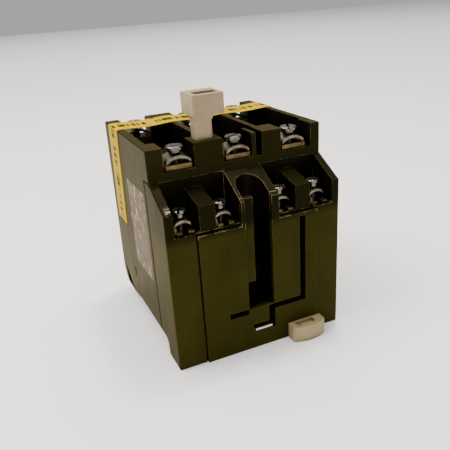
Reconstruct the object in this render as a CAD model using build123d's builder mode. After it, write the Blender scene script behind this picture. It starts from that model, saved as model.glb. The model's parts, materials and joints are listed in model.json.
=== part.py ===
from build123d import *
import os

# Three-pole control relay (contactor pattern) for 35 mm rail, all sizes in millimetres.
# X runs along the row of poles, Y from the front (coil and auxiliary terminals) to the back,
# +Z out of the mounting plane. The origin is at the bottom centre of the whole part.
# Most places are given as a depth: the distance behind the front face.

os.makedirs("parts", exist_ok=True)

# Envelope
BODY_W = 75.0
BODY_H = 87.5
TOP_DEPTH = 77.5
BASE_DEPTH = 80.5
CLIP_REACH = 7.5
BACK_REACH = 80.17
FRONT_Y = -(BACK_REACH - CLIP_REACH) / 2
HALF_W = BODY_W / 2
WALL = 3.2
EDGE_R = 0.6
INNER_X = HALF_W - WALL

# Front tier and parting line
TIER_DEPTH = 14.4
TIER_FRONT_H = 66.6
TIER_BACK_H = 74.6
PART_DEPTH = 20.7
PART_GAP = 0.15

# Rail recess for a 35 mm top-hat rail with a 1 mm thick brim
RAIL_Z = 7.2
RAIL_BACK = 51.6
BRIM_GROOVE = 1.4
HOOK_LIP = 2.2

# Poles and their terminals
POLE_X = (-24.5, 0.2, 25.2)
BAR_X = (-24.5, 0.4, 25.6)
MID_DEPTH = 46.2
POLE_SCREW_OFFSET = 27.0
POLE_LEDGE = 22.2
LEDGE_Z = 78.0
BAR_W = 11.0
BAR_T = 2.0
BAR_OUTER = 30.8
BAR_INNER = 20.8
TONGUE_HALF = 4.0
EAR_T = 0.8
EAR_TOP_Z = 84.6
DECK_Z = 57.0
DECK_UNDER_Z = 54.5
COVER_Z = 74.0
COVER_T = 2.5
CHANNELS = ((-34.3, -12.7), (-10.2, 10.9), (13.1, 34.3))
FRONT_ENTRIES = ((-31.0, -18.5), (-6.5, 6.1), (7.8, 10.5), (19.0, 33.0))
BACK_ENTRIES = ((-31.4, -18.6), (-6.5, 6.4), (19.0, 31.4))
POLE_HALF = 8.0

# Small terminals in the front tier; some screws stand higher than others
SMALL_X = (-29.1, -12.6, 13.2, 29.4)
SMALL_LIFT = (0.0, 0.1, 0.8, 0.7)
SMALL_DEPTH = 7.2
POCKET_Z = 57.2
PLATE_T = 1.0
PLATE_W = 6.8
PLATE_FRONT = 1.6
SMALL_EAR_T = 0.7
LEG_DEPTH = 11.0
AUX_FIXED_Z = 35.2
AUX_DEPTH = 14.2
COIL_LUG_Z = 42.0
POST_X = 20.5
POST_HALF_W = 3.25

# Centre block with its deep well: round at the back, open to the front through a slot
CENTRE_X = (-7.1, 9.0)
WELL_X = (-5.8, 5.8)
WELL_ROUND_DEPTH = 5.3
WELL_FLOOR_Z = 12.0
LIP_X = (-5.8, -1.5)
LIP_BACK = 3.0
SLOT_Z = 19.0
SLOT_STEP_Z = 30.5
RETAINER_X = (-3.3, 4.4)
RETAINER_Z = (8.25, 9.05)

# Front plate
PLATE_X = (-25.2, 26.5)
PLATE_BACK = 1.0
PLATE_PROUD = 0.8
PLATE_TOP_Z = 56.2

# Bowed clamps and their screws, M4 on the poles and M3 in the front tier
FIT = 0.08
POLE_CLAMP = {"width": 9.8, "length": 8.0, "rise": 1.9, "thickness": 1.15, "hole_r": 2.3}
POLE_CLAMP_Z = 80.4
POLE_SCREW = {"thread_r": 2.0, "pitch": 0.7, "collar_r": 2.65, "head_r": 3.5}
POLE_TIP_Z = 76.4
POLE_COLLAR_Z = 83.55
POLE_HEAD_Z = (85.1, 86.6)
SMALL_CLAMP = {"width": 6.5, "length": 5.8, "rise": 1.4, "thickness": 1.1, "hole_r": 1.8}
SMALL_CLAMP_Z = 59.5
SMALL_SCREW = {"thread_r": 1.5, "pitch": 0.5, "collar_r": 2.0, "head_r": 2.7}
SMALL_TIP_Z = 54.0
SMALL_COLLAR_Z = 62.1
SMALL_HEAD_Z = (64.3, 65.6)
SCREW_SLOT_W = 1.0
SCREW_SLOT_DEEP = 1.1

# Contact travel
TRAVEL = 5.0
BRIDGE_Z = 65.4
TIP_T = 0.95
FIXED_Z = 57.0
FIXED_T = 1.4

# Sealing tape
TAPE_T = 0.25

# Marker holder
STEM_X = (-16.3, -8.9)
STEM_DEPTH = (16.8, 22.8)
HEAD_SIDE = 13.0
HEAD_Z = (96.5, 104.5)
STEM_BOTTOM_Z = 75.6

# Screws that hold the front block, and the pads under the core
BLOCK_SCREW_X = (-12.0, 12.0)
BLOCK_SCREW_Z = 22.0
HOUSING_SCREW_X = 29.4
CORE_PADS = ((-18.0, 38.2), (18.0, 38.2), (-18.0, 54.2), (18.0, 54.2))

# Magnet
CORE_X = 24.0
CORE_HALF_D = 10.0
CORE_Z = (11.7, 34.0)
YOKE_T = 8.0
BOBBIN_Z = (19.9, 37.2)
PIN_R = 2.0
PIN_Z = 46.5
PIN_PLAY = 0.03


def block(x0, x1, d0, d1, z0, z1, mode=Mode.ADD):
    """Box from its limits across X, in depth and in height."""
    with Locations(((x0 + x1) / 2, FRONT_Y + (d0 + d1) / 2, (z0 + z1) / 2)):
        Box(x1 - x0, d1 - d0, z1 - z0, mode=mode)


def upright(x, depth, radius, z0, z1, mode=Mode.ADD):
    """Vertical cylinder."""
    with Locations((x, FRONT_Y + depth, (z0 + z1) / 2)):
        Cylinder(radius, z1 - z0, mode=mode)


def lengthwise(x, z, radius, d0, d1, mode=Mode.ADD):
    """Cylinder that runs from depth d0 to depth d1."""
    with Locations((x, FRONT_Y + (d0 + d1) / 2, z)):
        Cylinder(radius, d1 - d0, rotation=(90, 0, 0), mode=mode)


def side_plane(x):
    """Plane across X whose own axes are depth and height."""
    return Plane(origin=(x, FRONT_Y, 0), x_dir=(0, 1, 0), z_dir=(1, 0, 0))


def front_plane(depth):
    """Plane across the depth, seen from the front: X and height."""
    return Plane(origin=(0, FRONT_Y + depth, 0), x_dir=(1, 0, 0), z_dir=(0, -1, 0))


def side_solid(*outline):
    """Full-width solid from its side outline, as depth and height points."""
    with BuildSketch(side_plane(-HALF_W)) as side_view:
        with BuildLine():
            Polyline(*outline, close=True)
        make_face()
    extrude(side_view.sketch, amount=BODY_W)


def cross_edge(piece, depth, z):
    """The edge along X that passes nearest to a depth and height."""
    place = Vector(0, FRONT_Y + depth, z)
    edges = piece.edges().filter_by(Axis.X)
    return edges.sort_by(lambda edge: (Vector(0, edge.center().Y, edge.center().Z) - place).length)[0]


def soften_sides(piece):
    """Round the edges around the two outer side faces."""
    fillet(piece.faces().filter_by(Axis.X).edges(), EDGE_R)


def save(piece, name):
    """Label a finished piece and write it."""
    piece.part.label = name
    export_step(piece.part, f"parts/{name}.step")


def mirrored(offset, side):
    """Depth at an offset in front of (side -1) or behind (side +1) the pole centre line."""
    return MID_DEPTH + side * offset


def span(a, b):
    """The two limits in rising order."""
    return (min(a, b), max(a, b))


def groove_slots(depth0, depth1):
    """Narrow slots around the lower part of the centre well."""
    for x0, x1, z0, z1 in (
        (18.3, 20.9, 16.2, 55.0),
        (3.2, 18.3, 16.2, 18.6),
        (3.2, 6.1, 7.5, 16.2),
        (-4.4, 3.2, 9.6, 11.2),
        (-14.6, -6.0, 16.8, 19.2),
    ):
        block(x0, x1, depth0, depth1, z0, z1, mode=Mode.SUBTRACT)


def retainer_seat(depth0, depth1):
    """Flat seat of the retaining clip."""
    x0, x1 = RETAINER_X
    z0, z1 = RETAINER_Z
    block(x0 - 0.1, x1 + 0.1, depth0, depth1, z0 - 0.05, z1 + 0.05, mode=Mode.SUBTRACT)


# ---------------------------------------------------------------- main housing
with BuildPart() as main_housing:
    side_solid(
        (PART_DEPTH + PART_GAP, RAIL_Z), (50.0, RAIL_Z), (62.0, 5.4), (BASE_DEPTH, 5.4),
        (TOP_DEPTH, BODY_H), (TIER_DEPTH, BODY_H), (TIER_DEPTH, TIER_BACK_H),
        (PART_DEPTH + PART_GAP, TIER_BACK_H),
    )
    fillet(cross_edge(main_housing, BASE_DEPTH, 5.4), 9.0)
    fillet(main_housing.edges().filter_by(Axis.X).group_by(Axis.Z)[-1], 0.8)
    soften_sides(main_housing)
    # coil chamber, open below
    block(-INNER_X, INNER_X, 0, 74.2, -1, DECK_UNDER_Z, mode=Mode.SUBTRACT)
    # channels over the poles and their contact chambers
    for (x0, x1), pole in zip(CHANNELS, POLE_X):
        block(x0, x1, MID_DEPTH - POLE_LEDGE, MID_DEPTH + POLE_LEDGE, COVER_Z, 100, mode=Mode.SUBTRACT)
        block(
            pole - POLE_HALF, pole + POLE_HALF,
            MID_DEPTH - POLE_LEDGE, MID_DEPTH + POLE_LEDGE,
            DECK_Z, COVER_Z + 1, mode=Mode.SUBTRACT,
        )
        block(pole - 5.8, pole + 5.8, MID_DEPTH - 4.4, MID_DEPTH + 4.4, 50, DECK_Z + 1, mode=Mode.SUBTRACT)
    # wire entries above the ledges, front and back
    for x0, x1 in FRONT_ENTRIES:
        block(x0, x1, 0, MID_DEPTH - POLE_LEDGE, LEDGE_Z, 100, mode=Mode.SUBTRACT)
    for x0, x1 in BACK_ENTRIES:
        block(x0, x1, MID_DEPTH + POLE_LEDGE, 90, LEDGE_Z, 100, mode=Mode.SUBTRACT)
    # room for the screw tips under each bar
    for pole in POLE_X:
        for side in (-1, 1):
            upright(pole, mirrored(POLE_SCREW_OFFSET, side), 2.6, LEDGE_Z - 2.8, LEDGE_Z + 1, mode=Mode.SUBTRACT)
    # socket of the marker holder
    block(
        STEM_X[0] - FIT, STEM_X[1] + FIT,
        STEM_DEPTH[0] - FIT, STEM_DEPTH[1] + FIT,
        STEM_BOTTOM_Z - 0.4, 100, mode=Mode.SUBTRACT,
    )
    # seat of the rating plate and the small marks on the left side
    block(-HALF_W - 1, -HALF_W + 0.4, 24.0, 48.5, 29.0, 68.0, mode=Mode.SUBTRACT)
    with BuildSketch(side_plane(-HALF_W)):
        with BuildLine():
            Polyline((62.0, 6.4), (73.5, 7.2), (75.0, 15.5), close=True)
        make_face()
    extrude(amount=WALL, mode=Mode.SUBTRACT)
    block(-HALF_W - 1, -HALF_W + 0.9, 54.4, 55.6, 17.5, 22.5, mode=Mode.SUBTRACT)
    # screw bosses in the corners of the coil chamber
    for side in (-1, 1):
        for d0, d1 in ((21.2, 28.0), (67.2, 74.2)):
            x0, x1 = span(side * 26.0, side * INNER_X)
            block(x0, x1, d0, d1, RAIL_Z + 3.0, 26.0)
            upright(side * HOUSING_SCREW_X, (d0 + d1) / 2, 1.5, 0, 22.0, mode=Mode.SUBTRACT)
save(main_housing, "main_housing")

# ---------------------------------------------------------------- front block
with BuildPart() as front_block:
    side_solid(
        (PART_DEPTH - PART_GAP, RAIL_Z), (PART_DEPTH - PART_GAP, TIER_BACK_H), (TIER_DEPTH, TIER_BACK_H),
        (0.0, TIER_FRONT_H), (0.0, 0.0), (12.6, 0.0), (13.4, RAIL_Z),
    )
    fillet(cross_edge(front_block, 13.4, RAIL_Z), 2.5)
    soften_sides(front_block)
    # open terminal pockets on both sides of the centre block
    for x0, x1 in ((-34.1, CENTRE_X[0]), (CENTRE_X[1], 34.1)):
        block(x0, x1, -1, TIER_DEPTH, POCKET_Z, 90, mode=Mode.SUBTRACT)
    # barrier posts between the two terminals of each pocket
    for side in (-1, 1):
        with BuildSketch(side_plane(side * POST_X - POST_HALF_W)):
            with BuildLine():
                Polyline((0.4, POCKET_Z), (0.4, 67.5), (TIER_DEPTH, 70.6), (TIER_DEPTH, POCKET_Z), close=True)
            make_face()
        extrude(amount=2 * POST_HALF_W)
    # holes for the screw tips, and slots for the legs of the terminal plates
    for x in SMALL_X:
        upright(x, SMALL_DEPTH, 2.0, 49, POCKET_Z + 1, mode=Mode.SUBTRACT)
        block(x - 2.1, x + 2.1, LEG_DEPTH - 0.05, LEG_DEPTH + PLATE_T + 0.05, 49, POCKET_Z + 1, mode=Mode.SUBTRACT)
    # centre well behind its front wall, and the slot through that wall
    with BuildSketch(Plane.XY.offset(WELL_FLOOR_Z)) as well:
        with BuildLine():
            middle, radius = sum(WELL_X) / 2, (WELL_X[1] - WELL_X[0]) / 2
            wall_y, round_y = FRONT_Y + LIP_BACK, FRONT_Y + WELL_ROUND_DEPTH
            Polyline((WELL_X[1], round_y), (WELL_X[1], wall_y), (WELL_X[0], wall_y), (WELL_X[0], round_y))
            ThreePointArc((WELL_X[0], round_y), (middle, round_y + radius), (WELL_X[1], round_y))
        make_face()
    extrude(well.sketch, amount=BODY_H - WELL_FLOOR_Z, mode=Mode.SUBTRACT)
    block(LIP_X[1], WELL_X[1], -1, LIP_BACK, SLOT_Z, BODY_H, mode=Mode.SUBTRACT)
    block(*LIP_X, -1, LIP_BACK, SLOT_Z, SLOT_STEP_Z, mode=Mode.SUBTRACT)
    block(*LIP_X, -1, LIP_BACK, TIER_FRONT_H, BODY_H, mode=Mode.SUBTRACT)
    # seat of the front plate, with the slots carried on into the block
    block(PLATE_X[0] - 0.6, PLATE_X[1] + 0.15, -1, PLATE_BACK, -1, POCKET_Z, mode=Mode.SUBTRACT)
    block(*CENTRE_X, -1, PLATE_BACK, POCKET_Z - 1, 90, mode=Mode.SUBTRACT)
    groove_slots(0, 4.5)
    # cavities behind the pockets for the legs, the auxiliary contact and the coil leads
    for side in (-1, 1):
        for near, z0, z1 in ((18.0, 9.0, 50.0), (10.6, 32.0, 50.0)):
            x0, x1 = span(side * near, side * 34.1)
            block(x0, x1, 5.5, 30, z0, z1, mode=Mode.SUBTRACT)
    # guide of the rail clip, and the post that its spring leans on
    block(13.9, 25.5, -1, 30, 1.7, 5.8, mode=Mode.SUBTRACT)
    block(18.2, 21.2, 3.4, 4.9, 1.5, 6.0)
    # holes of the two screws that hold this block to the base plate
    for x in BLOCK_SCREW_X:
        lengthwise(x, BLOCK_SCREW_Z, 1.8, -1, 30, mode=Mode.SUBTRACT)
        lengthwise(x, BLOCK_SCREW_Z, 3.2, -1, 12.0, mode=Mode.SUBTRACT)
    retainer_seat(-1, 10.0)
save(front_block, "front_block")

# ---------------------------------------------------------------- front plate
with BuildPart() as front_plate:
    block(*PLATE_X, -PLATE_PROUD, PLATE_BACK, 0.0, PLATE_TOP_Z)
    # thin upper rims below the two terminal pockets
    block(PLATE_X[0], CENTRE_X[0], 0.1, PLATE_BACK, PLATE_TOP_Z - 1.0, PLATE_TOP_Z, mode=Mode.SUBTRACT)
    block(CENTRE_X[1], PLATE_X[1], 0.1, PLATE_BACK, PLATE_TOP_Z - 1.0, PLATE_TOP_Z, mode=Mode.SUBTRACT)
    with BuildSketch(side_plane(CENTRE_X[0])):
        with BuildLine():
            slope = (TIER_BACK_H - TIER_FRONT_H) / TIER_DEPTH
            Polyline(
                (-PLATE_PROUD, PLATE_TOP_Z), (-PLATE_PROUD, TIER_FRONT_H - PLATE_PROUD * slope),
                (PLATE_BACK, TIER_FRONT_H + PLATE_BACK * slope), (PLATE_BACK, PLATE_TOP_Z), close=True,
            )
        make_face()
    extrude(amount=CENTRE_X[1] - CENTRE_X[0])
    block(*WELL_X, -2, 2, SLOT_Z, BODY_H, mode=Mode.SUBTRACT)
    groove_slots(-2, 2)
    block(13.9, 25.5, -2, 2, 1.7, 5.8, mode=Mode.SUBTRACT)
    retainer_seat(-2, 2)
save(front_plate, "front_plate")

# ---------------------------------------------------------------- base plate
with BuildPart() as base_plate:
    block(-33.9, 33.9, 21.1, 74.0, RAIL_Z, RAIL_Z + 3.0)
    block(-33.0, 33.0, 62.0, 74.0, 0.0, RAIL_Z)
    block(-33.0, 33.0, RAIL_BACK, 62.0, 3.0, RAIL_Z)
    block(-33.0, 33.0, RAIL_BACK - HOOK_LIP, RAIL_BACK, 3.0, RAIL_Z - BRIM_GROOVE)
    fillet(cross_edge(base_plate, 74.0, 0.0), 2.0)
    # upstand that the front block is screwed to
    block(-18.0, 18.0, 21.1, 24.4, RAIL_Z + 3.0, 28.0)
    for x in BLOCK_SCREW_X:
        lengthwise(x, BLOCK_SCREW_Z, 1.5, 20, 25, mode=Mode.SUBTRACT)
    # clearance for the corner bosses and their screws
    for side in (-1, 1):
        for depth in (24.6, 70.7):
            x = side * HOUSING_SCREW_X
            upright(x, depth, 1.8, -1, 20, mode=Mode.SUBTRACT)
            top = RAIL_Z + 1.4 if depth < MID_DEPTH else RAIL_Z
            upright(x, depth, 3.2, -1, top, mode=Mode.SUBTRACT)
    # recesses that locate the core pads
    for x, depth in CORE_PADS:
        upright(x, depth, 4.05, RAIL_Z + 2.2, RAIL_Z + 4, mode=Mode.SUBTRACT)
save(base_plate, "base_plate")

# ---------------------------------------------------------------- arc cover
with BuildPart() as arc_covers:
    for (x0, x1), pole in zip(CHANNELS, POLE_X):
        block(x0 + 0.1, x1 - 0.1, MID_DEPTH - 20.4, MID_DEPTH + 20.4, COVER_Z, COVER_Z + COVER_T)
        for row in (-12, -8, 8, 12):
            block(pole - 6, pole + 6, MID_DEPTH + row - 0.9, MID_DEPTH + row + 0.9, 70, 80, mode=Mode.SUBTRACT)
save(arc_covers, "arc_covers")

# ---------------------------------------------------------------- pole terminals
for side, row in ((-1, "front"), (1, "back")):
    for number, (pole, bar_x) in enumerate(zip(POLE_X, BAR_X), start=1):
        with BuildPart() as pole_terminal:
            left = bar_x - BAR_W / 2
            bar = span(mirrored(BAR_OUTER, side), mirrored(BAR_INNER, side))
            block(left, left + BAR_W, *bar, LEDGE_Z, LEDGE_Z + BAR_T)
            fillet(pole_terminal.edges().filter_by(Axis.Z), 0.4)
            drop = span(mirrored(POLE_LEDGE, side), mirrored(BAR_INNER, side))
            block(pole - TONGUE_HALF, pole + TONGUE_HALF, *drop, FIXED_Z, LEDGE_Z + BAR_T)
            foot = span(mirrored(POLE_LEDGE, side), mirrored(11.7, side))
            block(pole - TONGUE_HALF, pole + TONGUE_HALF, *foot, FIXED_Z, FIXED_Z + FIXED_T)
            ear = span(mirrored(29.6, side), mirrored(25.0, side))
            block(left - EAR_T, left + 0.1, *ear, LEDGE_Z, EAR_TOP_Z)
            screw_hole = POLE_SCREW["thread_r"] + FIT
            upright(pole, mirrored(POLE_SCREW_OFFSET, side), screw_hole, 77, 81, mode=Mode.SUBTRACT)
        save(pole_terminal, f"{row}_terminal_{number}")

with BuildPart() as fixed_tips:
    for pole in POLE_X:
        for side in (-1, 1):
            upright(pole, mirrored(14.7, side), 2.5, FIXED_Z + FIXED_T, FIXED_Z + FIXED_T + TIP_T)
    for x in SMALL_X[:2]:
        upright(x, AUX_DEPTH, 1.7, AUX_FIXED_Z + PLATE_T, AUX_FIXED_Z + PLATE_T + TIP_T)
save(fixed_tips, "fixed_tips")

# ---------------------------------------------------------------- small terminals
for number, x in enumerate(SMALL_X, start=1):
    with BuildPart() as small_terminal:
        left = x - PLATE_W / 2
        block(left, left + PLATE_W, PLATE_FRONT, LEG_DEPTH + PLATE_T, POCKET_Z, POCKET_Z + PLATE_T)
        block(left - SMALL_EAR_T, left + 0.1, PLATE_FRONT + 0.6, SMALL_DEPTH + 2.0, POCKET_Z, POCKET_Z + 3.0)
        lug_z = AUX_FIXED_Z if x < 0 else COIL_LUG_Z
        lug_end = AUX_DEPTH + 2.0 if x < 0 else 15.0
        block(x - 2.0, x + 2.0, LEG_DEPTH, LEG_DEPTH + PLATE_T, lug_z, POCKET_Z + PLATE_T)
        block(x - 2.0, x + 2.0, LEG_DEPTH, lug_end, lug_z, lug_z + PLATE_T)
        # keyhole: a threaded hole that runs out to the front edge
        upright(x, SMALL_DEPTH, SMALL_SCREW["thread_r"] + FIT, 50, 60, mode=Mode.SUBTRACT)
        block(x - 1.3, x + 1.3, 0, SMALL_DEPTH, 50, 60, mode=Mode.SUBTRACT)
    save(small_terminal, f"small_terminal_{number}")


# ---------------------------------------------------------------- clamps and screws
def saddle(x, depth, end_z, width, length, rise, thickness, hole_r):
    """Bowed clamp plate, lowest at its two ends, with a hole for the screw."""
    with BuildSketch(front_plane(depth - length / 2)) as bow:
        with BuildLine():
            half = width / 2
            ThreePointArc((x - half, end_z), (x, end_z + rise), (x + half, end_z))
            Line((x + half, end_z), (x + half, end_z + thickness))
            ThreePointArc(
                (x + half, end_z + thickness), (x, end_z + rise + thickness), (x - half, end_z + thickness),
            )
            Line((x - half, end_z + thickness), (x - half, end_z))
        make_face()
    extrude(bow.sketch, amount=-length)
    upright(x, depth, hole_r, end_z - 2, end_z + 5, mode=Mode.SUBTRACT)


def clamping_screw(x, depth, tip_z, collar_z, head_z, slot_angle, thread_r, pitch, collar_r, head_r):
    """Slotted screw with a ridged shank, a tapered collar above the clamp and a flat round head."""
    profile = [(0.0, tip_z), (thread_r - 0.9, tip_z)]
    root_r = thread_r - 0.35
    z = tip_z + 0.6
    while z + pitch < collar_z:
        profile += [(root_r, z), (thread_r, z + 0.45 * pitch), (thread_r, z + 0.55 * pitch)]
        z += pitch
    profile += [(root_r, z), (root_r, collar_z), (0.8 * collar_r, collar_z), (collar_r, collar_z + 0.7)]
    profile += [(collar_r, head_z[0]), (head_r - 0.2, head_z[0]), (head_r, head_z[0] + 0.2)]
    profile += [(head_r, head_z[1] - 0.4), (head_r - 0.4, head_z[1]), (0.0, head_z[1])]
    with BuildSketch(front_plane(depth)) as half_view:
        with BuildLine():
            Polyline(*[(x + r, height) for r, height in profile], close=True)
        make_face()
    revolve(half_view.sketch, axis=Axis((x, FRONT_Y + depth, 0), (0, 0, 1)))
    with Locations(Location((x, FRONT_Y + depth, head_z[1]), (0, 0, slot_angle))):
        Box(2 * head_r + 1, SCREW_SLOT_W, 2 * SCREW_SLOT_DEEP, mode=Mode.SUBTRACT)


for side, row in ((-1, "front"), (1, "back")):
    for number, pole in enumerate(POLE_X, start=1):
        depth = mirrored(POLE_SCREW_OFFSET, side)
        with BuildPart() as clamp:
            saddle(pole, depth, POLE_CLAMP_Z, **POLE_CLAMP)
        save(clamp, f"{row}_clamp_{number}")
        with BuildPart() as screw:
            turned = 10 + 35 * number + 50 * side
            clamping_screw(pole, depth, POLE_TIP_Z, POLE_COLLAR_Z, POLE_HEAD_Z, turned, **POLE_SCREW)
        save(screw, f"{row}_screw_{number}")

for number, (x, lift) in enumerate(zip(SMALL_X, SMALL_LIFT), start=1):
    with BuildPart() as clamp:
        saddle(x, SMALL_DEPTH, SMALL_CLAMP_Z + lift, **SMALL_CLAMP)
    save(clamp, f"small_clamp_{number}")
    with BuildPart() as screw:
        head_z = [z + lift for z in SMALL_HEAD_Z]
        turned = 25 + 40 * number
        clamping_screw(x, SMALL_DEPTH, SMALL_TIP_Z, SMALL_COLLAR_Z + lift, head_z, turned, **SMALL_SCREW)
    save(screw, f"small_screw_{number}")

# ---------------------------------------------------------------- magnet and coil
with BuildPart() as magnet_core:
    core_d = (MID_DEPTH - CORE_HALF_D, MID_DEPTH + CORE_HALF_D)
    block(-CORE_X, CORE_X, *core_d, CORE_Z[0], CORE_Z[0] + YOKE_T)
    for x0, x1 in ((-CORE_X, -17.0), (-7.0, 7.0), (17.0, CORE_X)):
        block(x0, x1, *core_d, CORE_Z[0], CORE_Z[1])
    for side in (-1, 1):
        x0, x1 = span(side * 18.0, side * 23.0)
        block(x0, x1, MID_DEPTH - 8, MID_DEPTH + 8, CORE_Z[1] - 1.2, CORE_Z[1], mode=Mode.SUBTRACT)
        block(x0 + 1.2, x1 - 1.2, MID_DEPTH - 6.8, MID_DEPTH + 6.8, CORE_Z[1] - 1.2, CORE_Z[1])
save(magnet_core, "magnet_core")

with BuildPart() as shading_rings:
    for side in (-1, 1):
        x0, x1 = span(side * 18.0, side * 23.0)
        block(x0, x1, MID_DEPTH - 8, MID_DEPTH + 8, CORE_Z[1] - 1.2, CORE_Z[1])
        block(
            x0 + 1.2, x1 - 1.2, MID_DEPTH - 6.8, MID_DEPTH + 6.8,
            CORE_Z[1] - 1.2, CORE_Z[1], mode=Mode.SUBTRACT,
        )
save(shading_rings, "shading_rings")

with BuildPart() as core_pads:
    for x, depth in CORE_PADS:
        upright(x, depth, 4.0, RAIL_Z + 2.2, CORE_Z[0])
save(core_pads, "core_pads")

with BuildPart() as coil_bobbin:
    block(-16.2, 16.2, MID_DEPTH - 16.5, MID_DEPTH + 16.5, BOBBIN_Z[0], BOBBIN_Z[0] + 1.5)
    block(-16.2, 16.2, MID_DEPTH - 16.5, MID_DEPTH + 16.5, BOBBIN_Z[1] - 1.5, BOBBIN_Z[1])
    fillet(coil_bobbin.edges().filter_by(Axis.Z), 2.0)
    block(-8.7, 8.7, MID_DEPTH - 11.7, MID_DEPTH + 11.7, *BOBBIN_Z)
    block(-7.5, 7.5, MID_DEPTH - 10.5, MID_DEPTH + 10.5, 10, 40, mode=Mode.SUBTRACT)
save(coil_bobbin, "coil_bobbin")

with BuildPart() as coil_winding:
    block(-15.6, 15.6, MID_DEPTH - 15.9, MID_DEPTH + 15.9, BOBBIN_Z[0] + 1.5, BOBBIN_Z[1] - 1.5)
    fillet(coil_winding.edges().filter_by(Axis.Z), 4.0)
    block(-8.7, 8.7, MID_DEPTH - 11.7, MID_DEPTH + 11.7, *BOBBIN_Z, mode=Mode.SUBTRACT)
save(coil_winding, "coil_winding")

with BuildPart() as coil_leads:
    for start_x, bend_depth, end_x, end_z in (
        (SMALL_X[2], 26.0, 11.0, 32.0),
        (SMALL_X[3], 22.0, 13.0, 29.0),
    ):
        lug_z = COIL_LUG_Z - 0.7
        places = (
            (start_x, 13.0, lug_z), (start_x, bend_depth, lug_z), (end_x, 27.7, end_z), (end_x, 30.2, end_z),
        )
        with BuildLine() as lead_path:
            FilletPolyline(*[(px, FRONT_Y + depth, pz) for px, depth, pz in places], radius=1.2)
        with BuildSketch(Plane(origin=lead_path.line @ 0, z_dir=lead_path.line % 0)) as lead_section:
            Circle(0.6)
        sweep(lead_section.sketch, path=lead_path.line)
save(coil_leads, "coil_leads")

with BuildPart() as armature:
    gap = TRAVEL + 0.1
    leg_z = CORE_Z[1] + gap
    block(-CORE_X, CORE_X, *core_d, leg_z + 4.0, 50.0)
    for x0, x1 in ((-CORE_X, -17.0), (-7.0, 7.0), (17.0, CORE_X)):
        block(x0, x1, *core_d, leg_z, leg_z + 4.0)
    lengthwise(0, PIN_Z, PIN_R + PIN_PLAY, 0, 90, mode=Mode.SUBTRACT)
save(armature, "armature")

with BuildPart() as armature_pin:
    lengthwise(0, PIN_Z, PIN_R, MID_DEPTH - 12.8, MID_DEPTH + 12.8)
save(armature_pin, "armature_pin")

# ---------------------------------------------------------------- contact carrier
with BuildPart() as contact_carrier:
    block(-27.0, 27.0, MID_DEPTH - 17.2, MID_DEPTH + 17.2, 50.0, 54.0)
    for pole in POLE_X:
        block(pole - 5.5, pole + 5.5, MID_DEPTH - 4.0, MID_DEPTH + 4.0, 54.0, 73.0)
        block(pole - 3.3, pole + 3.3, 0, 90, BRIDGE_Z, 71.4, mode=Mode.SUBTRACT)
    for side in (-1, 1):
        d0, d1 = span(mirrored(10.2, side), mirrored(12.8, side))
        block(-5.0, 5.0, d0, d1, 43.5, 50.0)
    lengthwise(0, PIN_Z, PIN_R + PIN_PLAY, 0, 90, mode=Mode.SUBTRACT)
    # arm that reaches forward to the auxiliary contact
    block(-24.3, -17.4, 12.6, 31.0, 44.6, 49.4)
    block(-24.3, -17.4, 27.0, 31.0, 44.6, 54.0)
save(contact_carrier, "contact_carrier")

for number, pole in enumerate(POLE_X, start=1):
    with BuildPart() as contact_bridge:
        block(pole - 3.0, pole + 3.0, MID_DEPTH - 17.2, MID_DEPTH + 17.2, BRIDGE_Z, BRIDGE_Z + 1.4)
        fillet(contact_bridge.edges().filter_by(Axis.Z), 1.5)
    save(contact_bridge, f"contact_bridge_{number}")

with BuildPart() as aux_bridge:
    block(-31.1, -10.7, AUX_DEPTH - 1.8, AUX_DEPTH + 1.8, 43.4, 44.6)
    fillet(aux_bridge.edges().filter_by(Axis.Z), 1.0)
save(aux_bridge, "aux_bridge")

with BuildPart() as bridge_tips:
    for pole in POLE_X:
        for side in (-1, 1):
            upright(pole, mirrored(14.7, side), 2.5, BRIDGE_Z - TIP_T, BRIDGE_Z)
    for x in SMALL_X[:2]:
        upright(x, AUX_DEPTH, 1.7, 43.4 - TIP_T, 43.4)
save(bridge_tips, "bridge_tips")


# ---------------------------------------------------------------- springs
def coil_spring(start, direction, length, radius, wire_r, turns):
    """Helical spring of round wire between its two end planes."""
    axis = Vector(*direction)
    first = Vector(*start) + axis * wire_r
    height = length - 2 * wire_r
    with BuildLine() as turns_line:
        Helix(pitch=height / turns, height=height, radius=radius, center=first, direction=direction)
    with BuildSketch(Plane(origin=turns_line.line @ 0, z_dir=turns_line.line % 0)) as wire_section:
        Circle(wire_r)
    sweep(wire_section.sketch, path=turns_line.line)


with BuildPart() as contact_springs:
    for pole in POLE_X:
        coil_spring((pole, FRONT_Y + MID_DEPTH, BRIDGE_Z + 1.4), (0, 0, 1), 4.6, 2.0, 0.3, 4)
save(contact_springs, "contact_springs")

with BuildPart() as return_springs:
    for x in (-12.0, 12.0):
        for side in (-1, 1):
            place = (x, FRONT_Y + mirrored(13.6, side), BOBBIN_Z[1])
            coil_spring(place, (0, 0, 1), 50.0 - BOBBIN_Z[1], 1.9, 0.4, 6)
save(return_springs, "return_springs")

with BuildPart() as clip_spring:
    coil_spring((19.7, FRONT_Y + 4.9, 3.75), (0, 1, 0), 7.1, 1.3, 0.25, 6)
save(clip_spring, "clip_spring")

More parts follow.
